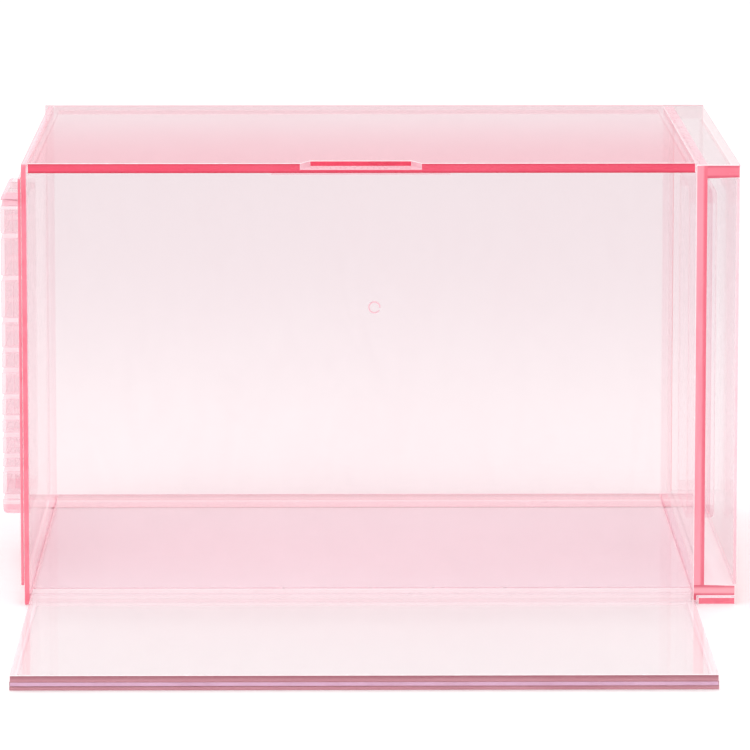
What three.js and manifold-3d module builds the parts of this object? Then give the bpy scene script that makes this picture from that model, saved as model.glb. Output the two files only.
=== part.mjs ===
// A stackable, side-opening shoe box of clear pink plastic, with a drop-front door that hinges at the bottom.
// Millimetres, +Z up. The front faces -Y, and the origin is the middle of the case's underside.
// The door is drawn open: it lies flat on the ground in front of the case.

import * as THREE from "three";
import { mergeVertices } from "three/addons/utils/BufferGeometryUtils.js";
import Module from "manifold-3d";

const wasm = await Module();
wasm.setup();

// ---------------------------------------------------------------- driving dimensions

const WIDTH = 360; // over the two sides, without the left boss
const DEPTH = 288; // front plane to back plane
const HEIGHT = 223.6; // ground to the top face
const SEAM = 0.3; // gap between two neighbouring mouldings

const SIDE_WALL = 2.8; // inner layer of each side
const OUTER_PLATE = 1.6; // second layer on the left side
const BACK_WALL = 2.7;
const CHANNEL = 22; // width of the double wall on the right, with its inner wall

const TOP = { edge: 5, sheet: 2.4, border: 14, sideBorder: 2.6 };
const NOTCH = { centre: -9, outer: 60, inner: 51, back: 11, down: 3 };
const STOP_RIB = { length: 90, thick: 2, drop: 1.6 };

const FLANGE = { top: 6.8, bottom: 5.7, topZ: HEIGHT - 1, bottomZ: 4.3, border: 10, web: 5.6 };
const COVER = { thick: 1.8, inset: 0.2 };

const FLOOR = { top: 7.5, thick: 3.2 };
const BASE = { thick: 3.7 };

const DOOR = { thick: 7.3, sheet: 3.3, rim: 2.6, freeRim: 3.6, sideGap: 1, topGap: 0.5, floorGap: 0.4 };
const DOOR_GROOVE = { from: 1.6, height: 2.4, deep: 1 };
const STUB = { radius: 2.1, length: 2.6 };
const STUB_HOLE = 2.2; // radius
const CATCH = { fromTop: 24, radius: 4, proud: 0.7, sunk: 0.33 };

const BOSS = { depth: 80, height: 168.2, proud: 14.5, wall: 2, round: 3, corner: 8 };
const RIGHT_BOSS_EXTRA = 5.8; // the right boss is this much taller than the left one
const BOSS_SETBACK = 102; // front plane to the bosses' front
const GROOVE = { height: 3, deep: 0.8, foot: 2 }; // foot: left whole next to the side wall
const GROOVE_STEPS = [4.7, 17, 22, 22, 15.5, 10.5, 14, 11, 9, 11, 7, 14.5]; // from the left boss's top down

const GATE_RING = { outer: 3.4, inner: 2.6, proud: 0.4, gapWidth: 1.6 };

// ---------------------------------------------------------------- faces worked out from them

const LEFT = -WIDTH / 2;
const RIGHT = WIDTH / 2;
const FRONT = -DEPTH / 2;
const BACK = DEPTH / 2;
const INNER_BACK = BACK - BACK_WALL;
const PANEL_BACK = INNER_BACK - SEAM; // where the sides, top and floor end
const INNER_LEFT = LEFT + OUTER_PLATE + SEAM + SIDE_WALL;
const INNER_RIGHT = RIGHT - CHANNEL;
const TOP_UNDERSIDE = HEIGHT - TOP.edge;
const SIDE_HEIGHT = HEIGHT - 0.5;
const CHANNEL_FLOOR = FLANGE.bottomZ + FLANGE.bottom;
const CHANNEL_CEILING = FLANGE.topZ - FLANGE.top;
const BOSS_Y = FRONT + BOSS_SETBACK + BOSS.depth / 2;
const BOSS_Z = (CHANNEL_FLOOR + CHANNEL_CEILING) / 2 - 0.8;

const HINGE_Y = FRONT + DOOR.thick / 2;
const HINGE_Z = DOOR.thick / 2;
const SILL = HINGE_Y + DOOR.thick / 2 + DOOR.floorGap; // front edge of the floor and the base
const DOOR_LEFT = INNER_LEFT + DOOR.sideGap;
const DOOR_RIGHT = INNER_RIGHT - DOOR.sideGap;
const DOOR_REACH = TOP_UNDERSIDE - DOOR.topGap - HINGE_Z; // hinge axis to the free edge
const LUG = { thick: 2.2, depth: 9 };

// ---------------------------------------------------------------- solids

// A closed geometry as a manifold solid.
function solid(geometry) {
  const bare = geometry.clone();
  bare.deleteAttribute("normal");
  bare.deleteAttribute("uv");
  const merged = mergeVertices(bare, 1e-4);
  return new wasm.Manifold(
    new wasm.Mesh({
      numProp: 3,
      vertProperties: merged.attributes.position.array,
      triVerts: new Uint32Array(merged.index.array),
    }),
  );
}

// A manifold solid as flat-shaded three.js geometry.
function geometryOf(made) {
  const mesh = made.getMesh();
  const geometry = new THREE.BufferGeometry();
  geometry.setAttribute("position", new THREE.BufferAttribute(mesh.vertProperties, 3));
  geometry.setIndex(new THREE.BufferAttribute(mesh.triVerts, 1));
  const flat = geometry.toNonIndexed();
  flat.computeVertexNormals();
  return flat;
}

function block(x0, x1, y0, y1, z0, z1) {
  const geometry = new THREE.BoxGeometry(x1 - x0, y1 - y0, z1 - z0);
  return solid(geometry.translate((x0 + x1) / 2, (y0 + y1) / 2, (z0 + z1) / 2));
}

// An outline of [x, z] points as a prism from y0 back to y1.
function prismAlongY(shape, y0, y1) {
  const geometry = new THREE.ExtrudeGeometry(shape, { depth: y1 - y0, bevelEnabled: false, curveSegments: 6 });
  return solid(geometry.rotateX(Math.PI / 2).translate(0, y1, 0));
}

// An outline of [y, z] points as a prism from x0 to x1.
function prismAlongX(shape, x0, x1) {
  const geometry = new THREE.ExtrudeGeometry(shape, { depth: x1 - x0, bevelEnabled: false, curveSegments: 6 });
  const toWorld = new THREE.Matrix4().makeBasis(
    new THREE.Vector3(0, 1, 0),
    new THREE.Vector3(0, 0, 1),
    new THREE.Vector3(1, 0, 0),
  );
  return solid(geometry.applyMatrix4(toWorld).translate(x0, 0, 0));
}

// An outline of [x, y] points as a prism from z0 up to z1.
function prismAlongZ(shape, z0, z1) {
  const geometry = new THREE.ExtrudeGeometry(shape, { depth: z1 - z0, bevelEnabled: false, curveSegments: 6 });
  return solid(geometry.translate(0, 0, z0));
}

function cylinderAlongX(radius, x0, x1, y, z) {
  const geometry = new THREE.CylinderGeometry(radius, radius, x1 - x0, 48);
  return solid(geometry.rotateZ(-Math.PI / 2).translate((x0 + x1) / 2, y, z));
}

function polygon(points) {
  return new THREE.Shape(points.map(([a, b]) => new THREE.Vector2(a, b)));
}

function roundedRectangle(a0, a1, b0, b1, radius) {
  const shape = new THREE.Shape();
  shape.moveTo(a0 + radius, b0);
  shape.lineTo(a1 - radius, b0);
  shape.absarc(a1 - radius, b0 + radius, radius, -Math.PI / 2, 0);
  shape.lineTo(a1, b1 - radius);
  shape.absarc(a1 - radius, b1 - radius, radius, 0, Math.PI / 2);
  shape.lineTo(a0 + radius, b1);
  shape.absarc(a0 + radius, b1 - radius, radius, Math.PI / 2, Math.PI);
  shape.lineTo(a0, b0 + radius);
  shape.absarc(a0 + radius, b0 + radius, radius, Math.PI, Math.PI * 1.5);
  return shape;
}

// ---------------------------------------------------------------- the top

function topPanel() {
  const left = INNER_LEFT + SEAM;
  const right = INNER_RIGHT - SEAM;
  const plate = block(left, right, FRONT, PANEL_BACK, TOP_UNDERSIDE, HEIGHT);
  const hollow = block(
    left + TOP.sideBorder,
    right - TOP.sideBorder,
    FRONT + TOP.border,
    PANEL_BACK - TOP.sideBorder,
    TOP_UNDERSIDE - 1,
    HEIGHT - TOP.sheet,
  );
  const ribFront = SILL;
  const rib = block(
    NOTCH.centre - STOP_RIB.length / 2,
    NOTCH.centre + STOP_RIB.length / 2,
    ribFront,
    ribFront + STOP_RIB.thick,
    TOP_UNDERSIDE - STOP_RIB.drop,
    TOP_UNDERSIDE + 1,
  );
  return plate.subtract(hollow).subtract(fingerNotch()).add(rib);
}

// A shallow pocket in the front edge, with slanted ends.
function fingerNotch() {
  const over = 1;
  const slant = (NOTCH.outer - NOTCH.inner) / 2;
  const flare = (slant * over) / NOTCH.back;
  const half = NOTCH.outer / 2;
  const shape = polygon([
    [NOTCH.centre - half - flare, FRONT - over],
    [NOTCH.centre + half + flare, FRONT - over],
    [NOTCH.centre + NOTCH.inner / 2, FRONT + NOTCH.back],
    [NOTCH.centre - NOTCH.inner / 2, FRONT + NOTCH.back],
  ]);
  return prismAlongZ(shape, HEIGHT - NOTCH.down, HEIGHT + over);
}

// ---------------------------------------------------------------- the left side

function leftSidePanel() {
  const outline = roundedRectangle(FRONT, PANEL_BACK, 0, SIDE_HEIGHT, 2);
  const plate = prismAlongX(outline, INNER_LEFT - SIDE_WALL, INNER_LEFT);
  return plate.subtract(cylinderAlongX(STUB_HOLE, INNER_LEFT - 10, INNER_LEFT + 10, HINGE_Y, HINGE_Z));
}

// A boss that stands out along +X from x = 0, centred on y = 0 and z = 0, with its outer edges rounded.
// inset shrinks it on every side.
function bossSolid(depth, height, proud, inset) {
  const side = roundedRectangle(
    -depth / 2 + inset,
    depth / 2 - inset,
    -height / 2 + inset,
    height / 2 - inset,
    BOSS.corner - inset,
  );
  const round = BOSS.round;
  const top = height / 2 - inset;
  const face = proud - inset;
  const front = new THREE.Shape();
  front.moveTo(0, -top);
  front.lineTo(face - round, -top);
  front.absarc(face - round, -top + round, round, -Math.PI / 2, 0);
  front.lineTo(face, top - round);
  front.absarc(face - round, top - round, round, 0, Math.PI / 2);
  front.lineTo(0, top);
  return prismAlongX(side, inset, proud).intersect(prismAlongY(front, -depth, depth));
}

// The hollow inside a boss, open at x = 0 and running on past it.
function bossHollow(depth, height, proud) {
  const wall = BOSS.wall;
  const side = roundedRectangle(
    -depth / 2 + wall,
    depth / 2 - wall,
    -height / 2 + wall,
    height / 2 - wall,
    BOSS.corner - wall,
  );
  return prismAlongX(side, -10, proud - wall);
}

function leftOuterPlate() {
  const outline = roundedRectangle(FRONT, PANEL_BACK, CHANNEL_FLOOR, CHANNEL_CEILING, 2);
  return prismAlongX(outline, LEFT, LEFT + OUTER_PLATE);
}

// The left boss points to +X here, with its open side at x = 0, and is turned to -X where it is placed.
function leftBoss() {
  const proud = BOSS.proud - SEAM;
  const reach = BOSS.depth;
  let shell = bossSolid(BOSS.depth, BOSS.height, proud, 0);
  let z = BOSS.height / 2;
  for (const step of GROOVE_STEPS) {
    z -= step;
    const half = GROOVE.height / 2;
    shell = shell.subtract(block(GROOVE.foot, proud + 1, -reach, reach, z - half, z + half));
  }
  const core = bossSolid(BOSS.depth, BOSS.height, proud, GROOVE.deep);
  return shell.add(core).subtract(bossHollow(BOSS.depth, BOSS.height, proud));
}

// ---------------------------------------------------------------- the right side

function rightSidePanel() {
  const inner = INNER_RIGHT;
  const section = polygon([
    [inner, FLANGE.bottomZ],
    [RIGHT - 0.6, FLANGE.bottomZ],
    [RIGHT - 0.6, CHANNEL_FLOOR],
    [inner + FLANGE.web, CHANNEL_FLOOR],
    [inner + FLANGE.web, CHANNEL_CEILING],
    [RIGHT, CHANNEL_CEILING],
    [RIGHT, FLANGE.topZ],
    [inner, FLANGE.topZ],
  ]);
  const thinned = block(
    inner + SIDE_WALL,
    inner + FLANGE.web + 1,
    FRONT + FLANGE.border,
    PANEL_BACK - FLANGE.border,
    CHANNEL_FLOOR,
    CHANNEL_CEILING,
  );
  return prismAlongY(section, FRONT, PANEL_BACK)
    .subtract(thinned)
    .add(hingeLug())
    .subtract(cylinderAlongX(STUB_HOLE, inner - 5, inner + FLANGE.web - 1.6, HINGE_Y, HINGE_Z));
}

// The ear below the web that holds the door's right stub.
function hingeLug() {
  const shape = new THREE.Shape();
  shape.moveTo(FRONT, FLANGE.bottomZ + 2);
  shape.lineTo(FRONT, HINGE_Z);
  shape.absarc(HINGE_Y, HINGE_Z, DOOR.thick / 2, Math.PI, Math.PI * 1.5);
  shape.lineTo(FRONT + LUG.depth, 0);
  shape.lineTo(FRONT + LUG.depth, FLANGE.bottomZ + 2);
  return prismAlongX(shape, INNER_RIGHT, INNER_RIGHT + LUG.thick);
}

function rightBoss() {
  const height = BOSS.height + RIGHT_BOSS_EXTRA;
  const proud = BOSS.proud - SEAM;
  return bossSolid(BOSS.depth, height, proud, 0).subtract(bossHollow(BOSS.depth, height, proud));
}

function rightOuterCover() {
  const outer = RIGHT - COVER.inset;
  const outline = roundedRectangle(FRONT, PANEL_BACK, CHANNEL_FLOOR + SEAM, CHANNEL_CEILING - SEAM, 1);
  return prismAlongX(outline, outer - COVER.thick, outer);
}

// ---------------------------------------------------------------- back, floor and base

function backPanel() {
  const plate = block(LEFT, RIGHT, INNER_BACK, BACK, 0, SIDE_HEIGHT);
  return plate.add(gateRing());
}

// The moulding gate's mark: a low ring, broken at one side.
function gateRing() {
  const profile = [
    [GATE_RING.inner, 0],
    [GATE_RING.outer, 0],
    [GATE_RING.outer, 1 + GATE_RING.proud],
    [GATE_RING.inner, 1 + GATE_RING.proud],
    [GATE_RING.inner, 0],
  ].map(([r, h]) => new THREE.Vector2(r, h));
  const ring = solid(new THREE.LatheGeometry(profile, 32).rotateX(Math.PI));
  const gap = block(0, 2 * GATE_RING.outer, -1 - 2 * GATE_RING.proud, -1, -GATE_RING.gapWidth - 0.1, -0.1);
  return ring.subtract(gap).translate([0, INNER_BACK + 1, HEIGHT / 2]);
}

function floorPanel() {
  return block(
    INNER_LEFT + SEAM,
    INNER_RIGHT - SEAM,
    SILL,
    PANEL_BACK,
    FLOOR.top - FLOOR.thick,
    FLOOR.top,
  );
}

// A flat plate, notched round the hinge lug. Its right end is the tab under the double wall.
function basePlate() {
  const left = INNER_LEFT + SEAM;
  const right = RIGHT - 0.7;
  const lugClear = 0.4;
  const outline = polygon([
    [left, SILL],
    [INNER_RIGHT - lugClear, SILL],
    [INNER_RIGHT - lugClear, FRONT + LUG.depth + lugClear],
    [INNER_RIGHT + LUG.thick + lugClear, FRONT + LUG.depth + lugClear],
    [INNER_RIGHT + LUG.thick + lugClear, FRONT],
    [right, FRONT],
    [right, PANEL_BACK],
    [left, PANEL_BACK],
  ]);
  return prismAlongZ(outline, 0, BASE.thick);
}

// ---------------------------------------------------------------- the door, about its hinge axis at y = 0, z = 0

function frontDoor() {
  const half = DOOR.thick / 2;
  const section = new THREE.Shape();
  section.moveTo(-DOOR_REACH, -half);
  section.lineTo(0, -half);
  section.absarc(0, 0, half, -Math.PI / 2, Math.PI / 2);
  section.lineTo(-DOOR_REACH, half);
  const slab = prismAlongX(section, DOOR_LEFT, DOOR_RIGHT);
  const tray = block(
    DOOR_LEFT + DOOR.rim,
    DOOR_RIGHT - DOOR.rim,
    -DOOR_REACH + DOOR.freeRim,
    -half - 2,
    -half - 1,
    half - DOOR.sheet,
  );
  const groove = block(
    DOOR_LEFT - 1,
    DOOR_RIGHT + 1,
    -DOOR_REACH - 1,
    -DOOR_REACH + DOOR_GROOVE.deep,
    -half + DOOR_GROOVE.from,
    -half + DOOR_GROOVE.from + DOOR_GROOVE.height,
  );
  let door = slab.subtract(tray).subtract(groove);
  door = door
    .add(cylinderAlongX(STUB.radius, DOOR_LEFT - STUB.length - DOOR.sideGap, DOOR_LEFT + 1, 0, 0))
    .add(cylinderAlongX(STUB.radius, DOOR_RIGHT - 1, DOOR_RIGHT + STUB.length + DOOR.sideGap, 0, 0));
  return door.add(catchPip(DOOR_LEFT + CATCH.sunk)).add(catchPip(DOOR_RIGHT - CATCH.sunk));
}

// A low pip on the door's side edge that rubs the side wall and keeps the door shut. x is its middle.
function catchPip(x) {
  const pip = solid(new THREE.SphereGeometry(1, 24, 12));
  return pip
    .scale([CATCH.proud + CATCH.sunk, CATCH.radius, DOOR.thick / 2 - 1])
    .translate([x, -DOOR_REACH + CATCH.fromTop, 0]);
}

// ---------------------------------------------------------------- materials and scene

function plastic(colour, roughness) {
  return new THREE.MeshStandardMaterial({ color: colour, roughness, metalness: 0 });
}

const PINK = plastic(0xff7f99, 0.12);
const LIGHT_PINK = plastic(0xfbcfd8, 0.1);
const PALE_PINK = plastic(0xfbe6ea, 0.1);
const SMOKED_PINK = plastic(0xf0dadf, 0.1);

function piece(name, made, material) {
  const mesh = new THREE.Mesh(geometryOf(made), material);
  mesh.name = name;
  return mesh;
}

const body = new THREE.Group();
body.add(
  piece("top_panel", topPanel(), LIGHT_PINK),
  piece("left_side_panel", leftSidePanel(), PINK),
  piece("left_outer_plate", leftOuterPlate(), LIGHT_PINK),
  piece("right_side_panel", rightSidePanel(), PINK),
  piece("right_outer_cover", rightOuterCover(), PALE_PINK),
  piece("back_panel", backPanel(), PALE_PINK),
  piece("floor_panel", floorPanel(), LIGHT_PINK),
  piece("base_plate", basePlate(), PINK),
);

const leftBossMesh = piece("left_boss", leftBoss(), LIGHT_PINK);
leftBossMesh.rotation.z = Math.PI;
leftBossMesh.position.set(LEFT - SEAM, BOSS_Y, BOSS_Z);
const rightBossMesh = piece("right_boss", rightBoss(), LIGHT_PINK);
rightBossMesh.position.set(INNER_RIGHT + SIDE_WALL + SEAM, BOSS_Y, BOSS_Z);
body.add(leftBossMesh, rightBossMesh);

const door = new THREE.Group();
door.position.set(0, HINGE_Y, HINGE_Z);
door.add(piece("front_door", frontDoor(), SMOKED_PINK));

const shoeBox = new THREE.Group();
shoeBox.add(body, door);

export default shoeBox;
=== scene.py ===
import math

import bmesh
import bpy
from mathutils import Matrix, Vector


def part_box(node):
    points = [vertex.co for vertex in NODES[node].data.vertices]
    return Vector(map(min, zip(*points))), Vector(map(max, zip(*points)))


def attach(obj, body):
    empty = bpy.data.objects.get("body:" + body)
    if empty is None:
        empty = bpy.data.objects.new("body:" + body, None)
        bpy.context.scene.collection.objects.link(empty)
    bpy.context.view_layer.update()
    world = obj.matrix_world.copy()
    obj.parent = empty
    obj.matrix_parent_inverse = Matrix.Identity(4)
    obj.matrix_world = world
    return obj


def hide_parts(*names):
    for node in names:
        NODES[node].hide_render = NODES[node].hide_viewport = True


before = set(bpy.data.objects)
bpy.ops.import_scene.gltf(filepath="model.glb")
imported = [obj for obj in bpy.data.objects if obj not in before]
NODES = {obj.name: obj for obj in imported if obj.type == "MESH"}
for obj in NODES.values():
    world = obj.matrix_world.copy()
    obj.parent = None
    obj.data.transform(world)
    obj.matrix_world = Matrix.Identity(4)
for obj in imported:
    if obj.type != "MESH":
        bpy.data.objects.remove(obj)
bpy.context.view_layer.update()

MM = 0.001

# ---------------------------------------------------------------- colours


def tone(r, g, b):
    """An sRGB colour (0-255) as scene-linear RGBA."""
    scaled = (r / 255, g / 255, b / 255)
    linear = [c / 12.92 if c <= 0.04045 else ((c + 0.055) / 1.055) ** 2.4 for c in scaled]
    return (*linear, 1.0)


# ---------------------------------------------------------------- material nodes


def new_material(name):
    material = bpy.data.materials.new(name)
    material.use_nodes = True
    tree = material.node_tree
    tree.nodes.clear()
    return material, tree


def node(tree, kind, **settings):
    made = tree.nodes.new(kind)
    for key, value in settings.items():
        if hasattr(made, key):
            setattr(made, key, value)
        else:
            made.inputs[key.replace("_", " ")].default_value = value
    return made


def noise(tree, scale, detail=3.0, stretch=(1.0, 1.0, 1.0), distortion=0.0):
    """Noise in the piece's own coordinates, in metres. scale is how many features there are in a metre."""
    place = node(tree, "ShaderNodeTexCoord")
    mapping = node(tree, "ShaderNodeMapping")
    mapping.inputs["Scale"].default_value = stretch
    tree.links.new(place.outputs["Object"], mapping.inputs["Vector"])
    made = node(tree, "ShaderNodeTexNoise", Scale=scale, Detail=detail, Roughness=0.55, Distortion=distortion)
    tree.links.new(mapping.outputs["Vector"], made.inputs["Vector"])
    return made.outputs["Fac"]


def remap(tree, value, low, high, out_low, out_high):
    made = node(tree, "ShaderNodeMapRange")
    made.interpolation_type = "SMOOTHSTEP"
    for socket, number in zip(("From Min", "From Max", "To Min", "To Max"), (low, high, out_low, out_high)):
        made.inputs[socket].default_value = number
    tree.links.new(value, made.inputs["Value"])
    return made.outputs["Result"]


def mix_colour(tree, factor, a, b):
    made = node(tree, "ShaderNodeMix", data_type="RGBA")
    tree.links.new(factor, made.inputs[0])
    for socket, value in ((made.inputs[6], a), (made.inputs[7], b)):
        if isinstance(value, bpy.types.NodeSocket):
            tree.links.new(value, socket)
        else:
            socket.default_value = value
    return made.outputs[2]


def mix_shader(tree, factor, a, b):
    made = node(tree, "ShaderNodeMixShader")
    if isinstance(factor, bpy.types.NodeSocket):
        tree.links.new(factor, made.inputs[0])
    else:
        made.inputs[0].default_value = factor
    tree.links.new(a, made.inputs[1])
    tree.links.new(b, made.inputs[2])
    return made.outputs[0]


def bump(tree, height, strength, distance):
    made = node(tree, "ShaderNodeBump", Strength=strength, Distance=distance)
    tree.links.new(height, made.inputs["Height"])
    return made.outputs["Normal"]


def along(tree, axis, start, end):
    """0 at start and 1 at end along one of the piece's axes, in metres."""
    place = node(tree, "ShaderNodeTexCoord")
    split = node(tree, "ShaderNodeSeparateXYZ")
    tree.links.new(place.outputs["Object"], split.inputs[0])
    return remap(tree, split.outputs["XYZ".index(axis)], start, end, 0.0, 1.0)


def outward(tree, value):
    """value on a face seen from outside the plastic, and 0 on one seen from inside it."""
    facing = node(tree, "ShaderNodeNewGeometry")
    made = node(tree, "ShaderNodeMath", operation="MULTIPLY")
    tree.links.new(remap(tree, facing.outputs["Backfacing"], 0.0, 1.0, 1.0, 0.0), made.inputs[0])
    if isinstance(value, bpy.types.NodeSocket):
        tree.links.new(value, made.inputs[1])
    else:
        made.inputs[1].default_value = value
    return made.outputs[0]


def sheet(name, tint_a, tint_b, haze, haze_amount, gloss, rough=0.05, axis="Z", start=0.0, end=0.22,
          grain=0.015, frost_and_painted_light=None):
    """A clear moulded face: tinted see-through, a little milky, with a glossy skin that is stronger at a low
    angle. The tint turns from tint_a to tint_b between start and end along axis. frost is
    (axis, start, end, amount), for more milkiness past end."""
    material, tree = new_material(name)
    cloud = noise(tree, 9.0, detail=4.0, distortion=0.6)
    flow = noise(tree, 40.0, detail=5.0, stretch=(1.0, 0.25, 0.35), distortion=1.2)
    scratch = noise(tree, 300.0, detail=6.0, stretch=(1.0, 0.06, 1.0), distortion=0.4)
    base = mix_colour(tree, along(tree, axis, start, end), tint_a, tint_b)
    deeper = tuple(min(a, b) * d for a, b, d in zip(tint_a, tint_b, (0.995, 0.975, 0.98, 1.0)))
    tint = mix_colour(tree, remap(tree, cloud, 0.42, 0.72, 0.0, 0.1), base, deeper)
    clear = node(tree, "ShaderNodeBsdfTransparent")
    tree.links.new(tint, clear.inputs["Color"])
    surface = bump(tree, noise(tree, 1400.0, detail=2.0), grain, 0.0001)
    roughness = remap(tree, scratch, 0.62, 0.74, rough, rough + 0.08)
    milk = node(tree, "ShaderNodeBsdfPrincipled", IOR=1.49)
    milk.inputs["Base Color"].default_value = haze
    tree.links.new(roughness, milk.inputs["Roughness"])
    tree.links.new(surface, milk.inputs["Normal"])
    amount = remap(tree, flow, 0.35, 0.75, haze_amount - 0.01, haze_amount + 0.02)
    # The extra milk past end is partly painted light: it lightens the shade seen through that part.
    if frost_and_painted_light:
        frost_axis, frost_start, frost_end, frost_and_light_amount = frost_and_painted_light
        thicker = node(tree, "ShaderNodeMath", operation="ADD")
        gathered = remap(tree, along(tree, frost_axis, frost_start, frost_end), 0.0, 1.0, 0.0, frost_and_light_amount)
        tree.links.new(amount, thicker.inputs[0])
        tree.links.new(gathered, thicker.inputs[1])
        amount = thicker.outputs[0]
    body = mix_shader(tree, outward(tree, amount), clear.outputs[0], milk.outputs[0])
    skin = node(tree, "ShaderNodeBsdfAnisotropic")
    skin.inputs["Color"].default_value = (1.0, 1.0, 1.0, 1.0)
    tree.links.new(roughness, skin.inputs["Roughness"])
    tree.links.new(surface, skin.inputs["Normal"])
    fresnel = node(tree, "ShaderNodeFresnel", IOR=1.49)
    strength = node(tree, "ShaderNodeMath", operation="MULTIPLY")
    tree.links.new(fresnel.outputs[0], strength.inputs[0])
    tree.links.new(outward(tree, gloss), strength.inputs[1])
    out = node(tree, "ShaderNodeOutputMaterial")
    tree.links.new(mix_shader(tree, strength.outputs[0], body, skin.outputs[0]), out.inputs["Surface"])
    return material


def borders(tree, axis, low, high, width):
    """1 at the borders of a strip that lies between low and high, falling to 0 within width, in metres."""
    near_low = remap(tree, along(tree, axis, low, low + width), 0.0, 1.0, 1.0, 0.0)
    made = node(tree, "ShaderNodeMath", operation="MAXIMUM")
    tree.links.new(near_low, made.inputs[0])
    tree.links.new(along(tree, axis, high - width, high), made.inputs[1])
    return made.outputs[0]


def edge(name, light, deep, solidity, shade, stretch, seen_inside=(252, 236, 240), relief=0.06, specular=0.5):
    """A narrow edge face: the colour gathers in it, with faint streaks along its length. From inside it is
    clear, and tinted seen_inside. shade(tree) goes from 0 in the light parts to 1 in the deep ones."""
    material, tree = new_material(name)
    streak = noise(tree, 260.0, detail=4.0, stretch=stretch, distortion=0.3)
    cloud = noise(tree, 14.0, detail=3.0)
    # Where shade is a border mask, the deeper colour it brings is painted shade at the strip's rims.
    colour = mix_colour(tree, shade(tree), light, deep)
    colour = mix_colour(tree, remap(tree, streak, 0.4, 0.75, 0.0, 0.3), colour, deep)
    colour = mix_colour(tree, remap(tree, cloud, 0.45, 0.75, 0.0, 0.3), colour, light)
    glow = node(tree, "ShaderNodeBsdfPrincipled", IOR=1.49)
    glow.inputs["Specular IOR Level"].default_value = specular
    tree.links.new(colour, glow.inputs["Base Color"])
    tree.links.new(remap(tree, streak, 0.4, 0.8, 0.22, 0.42), glow.inputs["Roughness"])
    tree.links.new(bump(tree, streak, relief, 0.0002), glow.inputs["Normal"])
    clear = node(tree, "ShaderNodeBsdfTransparent")
    clear.inputs["Color"].default_value = tone(*seen_inside)
    amount = outward(tree, remap(tree, cloud, 0.3, 0.8, solidity, solidity + 0.06))
    out = node(tree, "ShaderNodeOutputMaterial")
    tree.links.new(mix_shader(tree, amount, clear.outputs[0], glow.outputs[0]), out.inputs["Surface"])
    return material


def lip(name, pale, worn, solidity):
    """A rounded edge: a pale glossy line with small scuffs. The pale line is a painted highlight."""
    material, tree = new_material(name)
    scuff = noise(tree, 520.0, detail=6.0, stretch=(0.4, 0.4, 1.0), distortion=0.8)
    wear = remap(tree, scuff, 0.55, 0.72, 0.0, 1.0)
    gloss = node(tree, "ShaderNodeBsdfPrincipled", IOR=1.49)
    tree.links.new(mix_colour(tree, wear, pale, worn), gloss.inputs["Base Color"])
    tree.links.new(remap(tree, scuff, 0.55, 0.72, 0.12, 0.5), gloss.inputs["Roughness"])
    tree.links.new(bump(tree, scuff, 0.2, 0.0002), gloss.inputs["Normal"])
    clear = node(tree, "ShaderNodeBsdfTransparent")
    clear.inputs["Color"].default_value = pale
    amount = outward(tree, remap(tree, scuff, 0.4, 0.75, solidity, solidity + 0.2))
    out = node(tree, "ShaderNodeOutputMaterial")
    tree.links.new(mix_shader(tree, amount, clear.outputs[0], gloss.outputs[0]), out.inputs["Surface"])
    return material


# How noise is stretched so that an edge's streaks run along an axis.
ALONG_X = (0.12, 1.0, 1.0)
ALONG_Y = (1.0, 0.12, 1.0)
ALONG_Z = (1.0, 1.0, 0.12)

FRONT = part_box("right_side_panel")[0].y
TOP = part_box("top_panel")[1].z
TOP_EDGE = TOP - 5 * MM
FLANGE_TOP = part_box("right_side_panel")[1].z
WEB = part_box("right_side_panel")[0].x
DOOR_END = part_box("front_door")[0].y
FLOOR_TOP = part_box("floor_panel")[1].z
FLOOR_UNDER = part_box("floor_panel")[0].z
FLOOR_ENDS = [corner.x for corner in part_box("floor_panel")]
LEFT_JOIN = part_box("left_side_panel")[0].x
TOP_ENDS = [corner.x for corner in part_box("top_panel")]
NOTCH_MIDDLE = -9 * MM
CHANNEL = 163.6 * MM  # where the double wall's channel begins, right of the web
CHANNEL_FLOOR = 11 * MM  # just over the bottom flange
RIGHT_END = 179 * MM  # past it there are only outermost faces
PANEL_ENDS = 140 * MM  # past it there are only the panels' back ends


def plain(tree):
    return remap(tree, noise(tree, 60.0, detail=3.0), 0.4, 0.7, 0.0, 1.0)


# top_borders, flange_borders and low_flange_borders paint shade: the edge strips turn deeper towards their
# rims.
def top_borders(tree):
    return borders(tree, "Z", TOP_EDGE, TOP, 1.7 * MM)


def web_borders(tree):
    """Painted shade: the web is deepest down its outer third."""
    return along(tree, "X", WEB + 3.0 * MM, WEB + 4.6 * MM)


def flange_borders(tree):
    return borders(tree, "Z", FLANGE_TOP - 6.4 * MM, FLANGE_TOP - 0.4 * MM, 1.9 * MM)


def low_flange_borders(tree):
    return borders(tree, "Z", 4.8 * MM, 9.5 * MM, 1.9 * MM)


def foot_border(tree):
    """Painted shade: the strip of a wall beside the floor panel is deepest at the floor's surface."""
    return along(tree, "Z", FLOOR_TOP - 2.4 * MM, FLOOR_TOP - 0.8 * MM)


def door_borders(tree):
    return remap(tree, along(tree, "Z", 4 * MM, 7.3 * MM), 0.0, 1.0, 0.0, 1.0)


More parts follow.
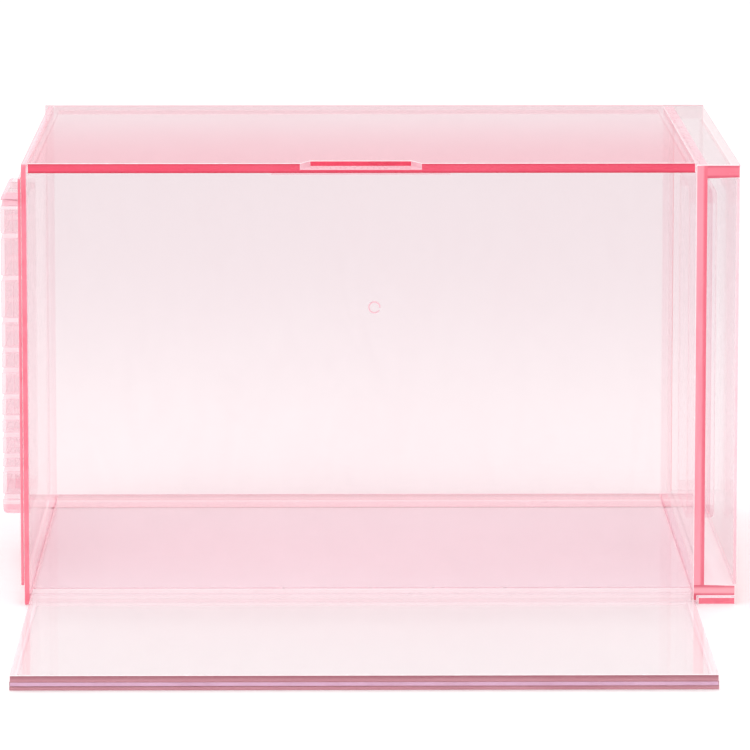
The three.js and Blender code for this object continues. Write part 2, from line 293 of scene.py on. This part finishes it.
MATERIALS = {made.name: made for made in (
    sheet("top_face", tone(254, 225, 231), tone(255, 249, 250), tone(255, 214, 222), 0.1, 0.35, axis="Y",
          start=-0.144, end=0.16),
    sheet("flange_face", tone(253, 249, 250), tone(253, 249, 250), tone(214, 180, 184), 0.42, 0.35,
          axis="Y", start=-0.144, end=0.14),
    # The back face's tint darkens towards the top: painted shade.
    sheet("back_face", tone(250, 245, 246), tone(243, 236, 238), tone(244, 234, 237), 0.05, 0.5, rough=0.09,
          grain=0.01, start=0.0, end=0.15),
    sheet("side_face", tone(255, 250, 251), tone(255, 250, 251), tone(255, 240, 243), 0.04, 0.7, axis="Y",
          start=-0.02, end=0.03, grain=0.01),
    sheet("floor_face", tone(255, 253, 254), tone(255, 252, 253), tone(255, 236, 240), 0.42, 0.3, axis="Y",
          start=-0.14, end=0.14, grain=0.005),
    # The door is milkier at its hinge end: partly painted light that lightens the shade the case casts there.
    sheet("door_face", tone(253, 252, 252), tone(254, 253, 253), tone(251, 242, 245), 0.34, 0.5, axis="Y",
          start=-0.35, end=-0.14, grain=0.005, frost_and_painted_light=("Y", -0.21, -0.17, 0.08)),
    # The cover's tint darkens towards the top: painted shade.
    sheet("cover_face", tone(249, 246, 247), tone(243, 237, 239), tone(247, 236, 239), 0.06, 0.6,
          grain=0.02),
    sheet("base_face", tone(255, 254, 255), tone(255, 254, 255), tone(255, 240, 243), 0.02, 0.1, axis="Y",
          start=-0.14, end=0.14),
    # The channel's floor is painted light: a milky white face that lightens the shade the case casts below
    # it.
    sheet("channel_face_painted_light", tone(255, 254, 254), tone(255, 254, 254), tone(255, 249, 250), 0.75, 0.1,
          axis="Y", start=-0.144, end=0.14),
    sheet("boss_face", tone(249, 242, 244), tone(249, 241, 243), tone(247, 206, 214), 0.18, 0.5),
    sheet("boss_clear", tone(255, 252, 253), tone(253, 251, 252), tone(252, 236, 239), 0.04, 0.5),
    edge("edge_bright_x", tone(235, 68, 100), tone(204, 30, 64), 0.94, top_borders, ALONG_X),
    edge("edge_deep", tone(236, 56, 92), tone(224, 46, 82), 0.95, plain, ALONG_X),
    edge("edge_side_z", tone(247, 126, 147), tone(239, 104, 127), 0.9, plain, ALONG_Z),
    edge("edge_web", tone(250, 150, 167), tone(236, 94, 118), 0.9, web_borders, ALONG_Z),
    edge("edge_flange", tone(243, 114, 136), tone(216, 70, 98), 0.9, flange_borders, ALONG_X,
         seen_inside=(246, 230, 234)),
    edge("edge_flange_low", tone(250, 166, 178), tone(222, 92, 116), 0.9, low_flange_borders, ALONG_X),
    edge("edge_pale", tone(253, 202, 213), tone(248, 184, 198), 0.5, plain, ALONG_Z),
    # edge_foot deepens at the floor's surface: painted shade where wall and floor meet.
    edge("edge_foot", tone(250, 198, 204), tone(204, 116, 134), 0.6, foot_border, ALONG_X,
         seen_inside=(254, 246, 248)),
    edge("edge_skirt", tone(252, 214, 220), tone(244, 188, 198), 0.4, plain, ALONG_Y,
         seen_inside=(254, 246, 248), relief=0.02),
    edge("edge_crest", tone(248, 200, 210), tone(246, 188, 200), 0.6, plain, ALONG_Y, relief=0.0,
         specular=0.1),
    edge("edge_line", tone(224, 166, 178), tone(212, 150, 164), 0.85, plain, ALONG_Y, relief=0.0,
         specular=0.2),
    edge("edge_groove", tone(248, 234, 238), tone(247, 226, 231), 0.75, plain, ALONG_Y,
         seen_inside=(255, 250, 251), relief=0.02),
    edge("edge_faint", tone(252, 222, 229), tone(250, 212, 220), 0.12, plain, ALONG_Y,
         seen_inside=(254, 246, 248)),
    # The sill is painted light: near white and nearly solid, it lightens the front faces of the floor and
    # base plate where they sit in shade.
    edge("edge_sill_painted_light", tone(255, 247, 249), tone(254, 240, 243), 0.9, plain, ALONG_X,
         seen_inside=(254, 250, 251)),
    edge("edge_door", tone(190, 126, 138), tone(150, 76, 92), 0.9, door_borders, ALONG_X),
    edge("edge_lilac", tone(226, 180, 214), tone(214, 166, 198), 0.85, plain, ALONG_X),
    edge("edge_base", tone(244, 112, 134), tone(236, 96, 120), 0.9, plain, ALONG_X),
    # The lips' pale colours are painted highlights along the roundings.
    lip("lip_pale_highlight", tone(255, 242, 245), tone(255, 252, 252), 0.7),
    lip("lip_soft_highlight", tone(254, 232, 237), tone(255, 245, 247), 0.3),
    lip("lip_faint_highlight", tone(255, 238, 240), tone(255, 246, 247), 0.08),
)}

# ---------------------------------------------------------------- pieces


FACE = 0
LIP = 2


def face_span(face):
    """The lengths of a face's box, longest first."""
    points = [v.co for v in face.verts]
    spans = [max(p[i] for p in points) - min(p[i] for p in points) for i in range(3)]
    return sorted(spans, reverse=True)


def moulded(cad, body, materials, pick, radius, segments=3, skip=None, splits=(), repaint=None):
    """A part with its edges rounded as a moulding has them. pick(face) gives a face's place in materials,
    where FACE is for broad faces and LIP for rounded edges. Edges for which skip(edge) is true stay sharp.
    splits are planes that part faces with two finishes. repaint(centre) gives a rounded edge's place."""
    mesh = NODES[cad].data.copy()
    mesh.name = cad + "_moulded"
    shape = bmesh.new()
    shape.from_mesh(mesh)
    bmesh.ops.remove_doubles(shape, verts=shape.verts, dist=0.00001)
    bmesh.ops.dissolve_limit(shape, angle_limit=math.radians(0.5), verts=shape.verts, edges=shape.edges)
    for point, normal in splits:
        everything = list(shape.verts) + list(shape.edges) + list(shape.faces)
        bmesh.ops.bisect_plane(shape, geom=everything, plane_co=point, plane_no=normal)
    shape.normal_update()
    for face in shape.faces:
        face.material_index = pick(face)
    sharp = [
        e
        for e in shape.edges
        if e.is_manifold and abs(e.calc_face_angle()) > math.radians(28) and not (skip and skip(e))
    ]
    bmesh.ops.bevel(
        shape,
        geom=sharp,
        offset=radius,
        offset_type="OFFSET",
        segments=segments,
        profile=0.5,
        affect="EDGES",
        clamp_overlap=False,
        material=LIP,
    )
    shape.normal_update()
    for face in shape.faces:
        face.smooth = True
        if repaint and face.material_index == LIP:
            face.material_index = repaint(face.calc_center_median())
    mesh.materials.clear()
    for name in materials:
        mesh.materials.append(MATERIALS[name])
    shape.to_mesh(mesh)
    shape.free()
    piece = bpy.data.objects.new(cad + "_moulded", mesh)
    bpy.context.scene.collection.objects.link(piece)
    weighted = piece.modifiers.new("weighted", "WEIGHTED_NORMAL")
    weighted.keep_sharp = False
    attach(piece, body)
    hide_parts(cad)
    return piece


def front_facing(face):
    return face.normal.y < -0.9


def thin(face, limit):
    return face_span(face)[1] < limit * MM


def pick_top(face):
    centre = face.calc_center_median()
    if front_facing(face) and centre.y < FRONT + 4 * MM:
        return 1
    if centre.z > TOP - 4.3 * MM and centre.y < FRONT + 24 * MM and abs(centre.x) < 50 * MM:
        return 3 if front_facing(face) else 5
    if not thin(face, 8.5):
        return FACE
    if abs(centre.x - TOP_ENDS[0]) < MM or abs(centre.x - TOP_ENDS[1]) < MM:
        return 5
    return 1 if centre.y > PANEL_ENDS and face.normal.z > -0.5 else 4


def beside_floor(face):
    return face.calc_center_median().z < FLOOR_TOP and abs(face.normal.z) < 0.1


def pick_side(face):
    if face.normal.x > 0.9 and beside_floor(face):
        return 4
    if not thin(face, 8):
        return FACE
    if face.normal.z < -0.9:
        return 5
    return 3 if face.normal.z > 0.9 else 1


def pick_right(face):
    centre = face.calc_center_median()
    if abs(face.normal.y) > 0.9 and abs(centre.y) > PANEL_ENDS:
        if centre.z < CHANNEL_FLOOR:
            return 6
        return 8 if centre.x > CHANNEL else 1
    if face.normal.z > 0.9 and centre.z > TOP - 2 * MM:
        return 4 if centre.x > CHANNEL else 5
    if face.normal.z < -0.9 and centre.z < 5 * MM:
        return 3
    if abs(face.normal.z) > 0.9:
        return 10 if centre.z < CHANNEL_FLOOR else 4
    if abs(face.normal.y) > 0.9:
        return 3
    if face.normal.x < -0.9 and centre.x < WEB + MM and beside_floor(face):
        return 7
    return 8 if thin(face, 8.5) and centre.x > RIGHT_END else FACE


def pick_boss(face):
    if not thin(face, 4):
        return FACE
    return 3 if abs(face.normal.z) > 0.3 else 1


def pick_back(face):
    centre = face.calc_center_median()
    if front_facing(face) and beside_floor(face):
        return 4 if centre.z > FLOOR_UNDER and FLOOR_ENDS[0] < centre.x < FLOOR_ENDS[1] else 5
    on_panel = abs(face.normal.y) > 0.9 and centre.z > FLOOR_TOP and centre.y > 141.2 * MM
    if on_panel or not thin(face, 8):
        return FACE
    return 3 if centre.y < 141.2 * MM else 1


def pick_floor(face):
    if front_facing(face):
        return 3
    return 1 if thin(face, 8) else FACE


def repaint_top(centre):
    """The front edge's lower rounding is deep pink, the notch's are pale pink, and the back edge's upper one
    is a soft mauve line."""
    if centre.y < FRONT + 0.5 * MM and centre.z < TOP_EDGE + 0.5 * MM:
        return 1
    if abs(centre.x - NOTCH_MIDDLE) < 32 * MM and centre.y < FRONT + 12 * MM and centre.z < TOP - MM:
        return 5
    return 6 if centre.y > 143.2 * MM and centre.z > TOP - 0.6 * MM else LIP


def repaint_web(centre):
    """The web's outer rounding is pink, and the flange's outer one a soft mauve line."""
    if centre.x > 179.2 * MM and centre.z > FLANGE_TOP - 0.7 * MM:
        return 9
    return 1 if abs(centre.x - WEB - 5.6 * MM) < 0.6 * MM and centre.z > CHANNEL_FLOOR else LIP


def repaint_join(centre):
    """The roundings where the two left sheets meet are pink, so the pair reads as one thick edge."""
    return 1 if abs(centre.x - LEFT_JOIN) < 0.75 * MM and centre.z > 0.6 * MM else LIP


def repaint_door(centre):
    """The roundings of the groove and of the free edge's foot keep the edge's own colour."""
    return 1 if centre.y < DOOR_END + 1.6 * MM and centre.z < 4.6 * MM else LIP


def pick_base(face):
    centre = face.calc_center_median()
    if abs(face.normal.z) > 0.5:
        return FACE
    tab = front_facing(face) and centre.x > 158 * MM
    if tab or centre.x > RIGHT_END or centre.y > 140.5 * MM:
        return 1
    return 4 if front_facing(face) else 3


def pick_door(face):
    centre = face.calc_center_median()
    free_edge = centre.y - DOOR_END
    if free_edge < 3 * MM and abs(face.normal.y) > 0.7:
        return 3 if free_edge > 0.1 * MM else 1
    if free_edge < 1.5 * MM and thin(face, 8.5):
        return 1
    if face.normal.z < -0.9 and centre.z < MM:
        return 5
    return 4 if thin(face, 8.5) and abs(face.normal.z) < 0.9 else FACE


# The normals of the planes that part faces.
UP = (0.0, 0.0, 1.0)
ACROSS = (1.0, 0.0, 0.0)

moulded("top_panel", "case",
        ["top_face", "edge_bright_x", "lip_pale_highlight", "edge_deep", "edge_faint", "edge_crest", "edge_line"],
        pick_top, 0.35 * MM, repaint=repaint_top)
moulded("left_side_panel", "case",
        ["side_face", "edge_side_z", "lip_soft_highlight", "edge_crest", "edge_skirt", "edge_faint"],
        pick_side, 0.4 * MM,
        splits=[((0.0, 0.0, FLOOR_TOP), UP)], repaint=repaint_join)
moulded("left_outer_plate", "case",
        ["side_face", "edge_side_z", "lip_soft_highlight", "edge_crest", "edge_skirt", "edge_faint"],
        pick_side, 0.3 * MM,
        repaint=repaint_join)
moulded("left_boss", "case",
        ["boss_face", "edge_groove", "lip_soft_highlight", "edge_pale"], pick_boss, 0.3 * MM)
moulded("right_side_panel", "case",
        ["side_face", "edge_web", "lip_pale_highlight", "edge_faint", "flange_face", "edge_crest", "edge_flange_low",
         "edge_skirt", "edge_flange", "edge_line", "channel_face_painted_light"], pick_right, 0.45 * MM,
        splits=[((CHANNEL, 0.0, 0.0), ACROSS), ((0.0, 0.0, 10 * MM), UP), ((0.0, 0.0, FLOOR_TOP), UP)],
        repaint=repaint_web)
moulded("right_boss", "case",
        ["boss_clear", "edge_faint", "lip_soft_highlight", "edge_faint"], pick_boss, 0.4 * MM)
moulded("right_outer_cover", "case",
        ["cover_face", "edge_pale", "lip_soft_highlight", "edge_pale", "edge_skirt", "edge_faint"],
        pick_side, 0.3 * MM)
moulded("back_panel", "case",
        ["back_face", "edge_side_z", "lip_soft_highlight", "edge_pale", "edge_foot", "edge_faint"],
        pick_back, 0.4 * MM,
        splits=[((0.0, 0.0, FLOOR_TOP), UP), ((0.0, 0.0, FLOOR_UNDER), UP),
                ((FLOOR_ENDS[0], 0.0, 0.0), ACROSS), ((FLOOR_ENDS[1], 0.0, 0.0), ACROSS)],
        skip=lambda e: e.calc_length() < 0.1)
moulded("floor_panel", "case",
        ["floor_face", "edge_faint", "lip_faint_highlight", "edge_sill_painted_light"], pick_floor, 0.4 * MM)
moulded("base_plate", "case",
        ["base_face", "edge_base", "lip_pale_highlight", "edge_faint", "edge_sill_painted_light"], pick_base, 0.35 * MM)
moulded("front_door", "door",
        ["door_face", "edge_door", "lip_pale_highlight", "edge_lilac", "edge_faint", "base_face"],
        pick_door, 0.35 * MM,
        skip=lambda e: e.calc_length() < 1.2 * MM, repaint=repaint_door)

# ---------------------------------------------------------------- floor

FLOOR_HALF = 30.0  # metres
FLOOR_DROP = 0.0002  # so that the floor doesn't share a plane with the part's underside


def studio_floor():
    mesh = bpy.data.meshes.new("studio_floor")
    shape = bmesh.new()
    bmesh.ops.create_grid(shape, x_segments=8, y_segments=8, size=FLOOR_HALF)
    for v in shape.verts:
        v.co.z = -FLOOR_DROP
    shape.to_mesh(mesh)
    shape.free()
    obj = bpy.data.objects.new("studio_floor", mesh)
    bpy.context.scene.collection.objects.link(obj)
    material, tree = new_material("studio_white")
    paper = node(tree, "ShaderNodeBsdfPrincipled", Roughness=0.7)
    speck = noise(tree, 90.0, detail=4.0)
    tree.links.new(
        mix_colour(tree, remap(tree, speck, 0.3, 0.7, 0.0, 1.0), tone(251, 250, 250), tone(253, 252, 252)),
        paper.inputs["Base Color"],
    )
    out = node(tree, "ShaderNodeOutputMaterial")
    tree.links.new(paper.outputs[0], out.inputs["Surface"])
    mesh.materials.append(material)


studio_floor()

# ---------------------------------------------------------------- light

world = bpy.data.worlds.new("studio")
bpy.context.scene.world = world
world.use_nodes = True
world.node_tree.nodes["Background"].inputs["Color"].default_value = (1.0, 1.0, 1.0, 1.0)
world.node_tree.nodes["Background"].inputs["Strength"].default_value = 1.07


def softbox(name, place, aim, size, power):
    light = bpy.data.lights.new(name, "AREA")
    light.shape = "RECTANGLE"
    light.size, light.size_y = size
    light.energy = power
    obj = bpy.data.objects.new(name, light)
    bpy.context.scene.collection.objects.link(obj)
    obj.location = place
    obj.rotation_mode = "QUATERNION"
    obj.rotation_quaternion = (Vector(aim) - Vector(place)).to_track_quat("-Z", "Y")


softbox("overhead", (-0.4, -0.2, 2.6), (0.0, 0.0, 0.1), (2.4, 1.8), 12.0)
softbox("front_left", (-1.8, -2.4, 1.6), (0.0, 0.0, 0.1), (1.2, 1.2), 4.0)

# ---------------------------------------------------------------- camera

CAMERA_PLACE = (-0.0248, FRONT - 2.812, 0.5398)
CAMERA_DOWN = 8.55  # degrees below level
CAMERA_TURN = -0.465  # degrees about the vertical

camera_data = bpy.data.cameras.new("camera")
camera_data.lens = 272.9
camera_data.sensor_width = 36.0
camera_data.clip_start = 0.1
camera_data.clip_end = 100.0
camera = bpy.data.objects.new("camera", camera_data)
bpy.context.scene.collection.objects.link(camera)
camera.location = CAMERA_PLACE
camera.rotation_mode = "XYZ"
camera.rotation_euler = (math.radians(90.0 - CAMERA_DOWN), 0.0, math.radians(CAMERA_TURN))
bpy.context.scene.camera = camera

bpy.context.scene.view_settings.view_transform = "Standard"
bpy.context.scene.cycles.transparent_max_bounces = 64
bpy.context.scene.cycles.max_bounces = 6
bpy.context.scene.cycles.diffuse_bounces = 3
bpy.context.scene.cycles.glossy_bounces = 3
